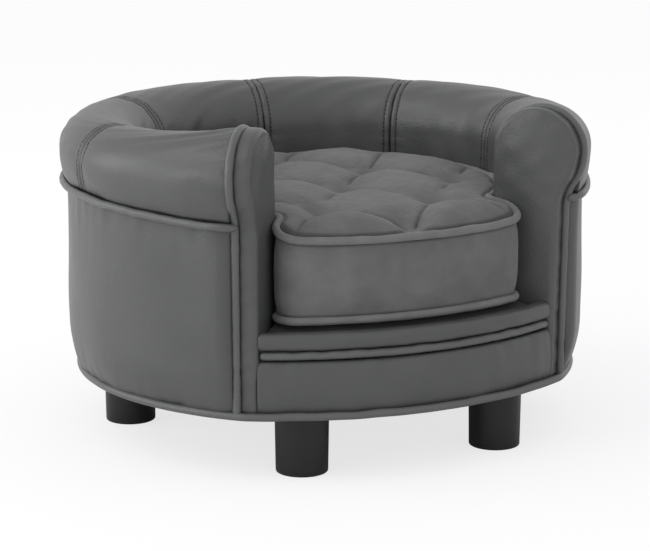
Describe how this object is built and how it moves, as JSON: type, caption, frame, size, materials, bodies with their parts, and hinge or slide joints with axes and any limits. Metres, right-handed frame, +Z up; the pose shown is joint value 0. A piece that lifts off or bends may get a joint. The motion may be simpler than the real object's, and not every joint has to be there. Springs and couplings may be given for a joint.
{
  "type": "dog sofa bed",
  "caption": "Round upholstered pet sofa with a rolled top, an open front, a loose tufted cushion and short cylindrical feet.",
  "frame": {"origin": "on the floor under the middle of the whole sofa's box", "axes": "+Z up, the open front towards -Y, +X to the right of a viewer who faces the front"},
  "size_m": [0.4834, 0.4522, 0.3032],
  "materials": {
    "faux_leather": "satin grained faux leather",
    "leather_piping": "satin faux leather over cord",
    "plush": "short plush",
    "plush_piping": "short plush over cord",
    "foam": "upholstery foam",
    "plywood": "raw",
    "black_plastic": "moulded satin",
    "zinc_steel": "zinc plated",
    "non_woven": "spun non-woven sheet"
  },
  "bodies": {
    "sofa": {"roll_cover_right_front": "faux_leather", "roll_cover_right_side": "faux_leather", "roll_cover_right_back": "faux_leather", "roll_cover_left_back": "faux_leather", "roll_cover_left_side": "faux_leather", "roll_cover_left_front": "faux_leather", "outer_wall_cover": "faux_leather", "arm_cover_right": "faux_leather", "arm_cover_left": "faux_leather", "deck_cover": "faux_leather", "fascia_cover": "faux_leather", "front_rail_cover": "faux_leather", "roll_welt": "leather_piping", "arm_welt_right": "leather_piping", "arm_welt_left": "leather_piping", "base_welt": "leather_piping", "front_band_welt": "leather_piping", "roll_foam": "foam", "outer_wall_foam": "foam", "inner_wall_foam": "foam", "deck_foam": "foam", "fascia_foam": "foam", "front_rail_foam": "foam", "arm_pad_right": "foam", "arm_pad_left": "foam", "base_board": "plywood", "outer_wall_panel": "plywood", "inner_wall_panel": "plywood", "top_ring": "plywood", "wall_posts": "plywood", "arm_board_right": "plywood", "arm_board_left": "plywood", "arm_end_plate_right": "plywood", "arm_end_plate_left": "plywood", "deck_ribs": "plywood", "deck_board": "plywood", "front_panel": "plywood", "foot_front_right": "black_plastic", "foot_front_left": "black_plastic", "foot_back_right": "black_plastic", "foot_back_left": "black_plastic", "foot_bolts": "zinc_steel", "foot_nuts": "zinc_steel", "frame_screws": "zinc_steel", "dust_cover_staples": "zinc_steel", "dust_cover": "non_woven"},
    "cushion": {"cushion_top_cover": "plush", "cushion_boxing": "plush", "cushion_bottom_cover": "plush", "cushion_top_welt": "plush_piping", "cushion_bottom_welt": "plush_piping", "cushion_foam": "foam"}
  },
  "joints": [
    {"name": "cushion_lift", "type": "slide", "parent": "sofa", "child": "cushion", "axis": [0, 0, 1], "range_m": [0, 0.2]}
  ]
}
